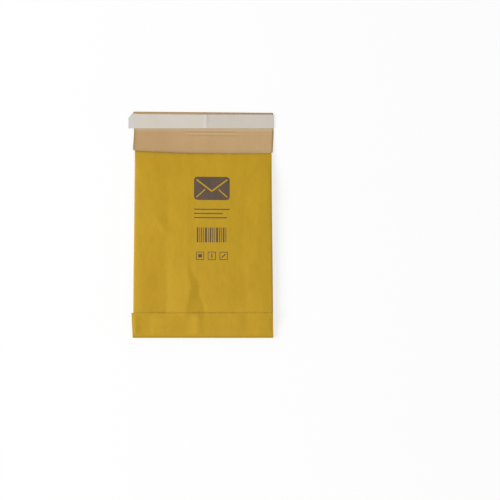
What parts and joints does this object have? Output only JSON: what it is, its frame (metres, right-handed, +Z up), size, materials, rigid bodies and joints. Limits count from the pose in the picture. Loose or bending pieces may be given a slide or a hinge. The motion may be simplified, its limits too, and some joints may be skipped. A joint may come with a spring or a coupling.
{
  "type": "padded envelope",
  "caption": "Padded paper mailing envelope with an open pocket, a turned-up glued bottom end, and a sealing flap with a peel-off liner, lying empty with its flap opened flat.",
  "frame": {"origin": "middle of the flat resting area of the front panel, on the surface it lies on, at the middle of the body's width and length", "axes": "+X to the right seen from above with the flap away from the viewer, +Y from the bottom fold to the mouth and flap, +Z up from the resting face to the back panel"},
  "size_m": [0.157, 0.2425, 0.0111],
  "materials": {
    "ochre_paper": "matt kraft paper dyed ochre on the outside",
    "tan_paper": "matt unbleached kraft paper",
    "grey_fibre": "shredded recycled paper fibre",
    "white_liner": "satin silicone-coated release paper",
    "clear_glue": "glossy pressure-sensitive glue"
  },
  "bodies": {
    "root": {"outer_wrapper": "ochre_paper", "inner_lining": "tan_paper", "front_padding": "grey_fibre", "back_padding": "grey_fibre", "adhesive_strip": "clear_glue", "release_liner": "white_liner"}
  },
  "joints": []
}
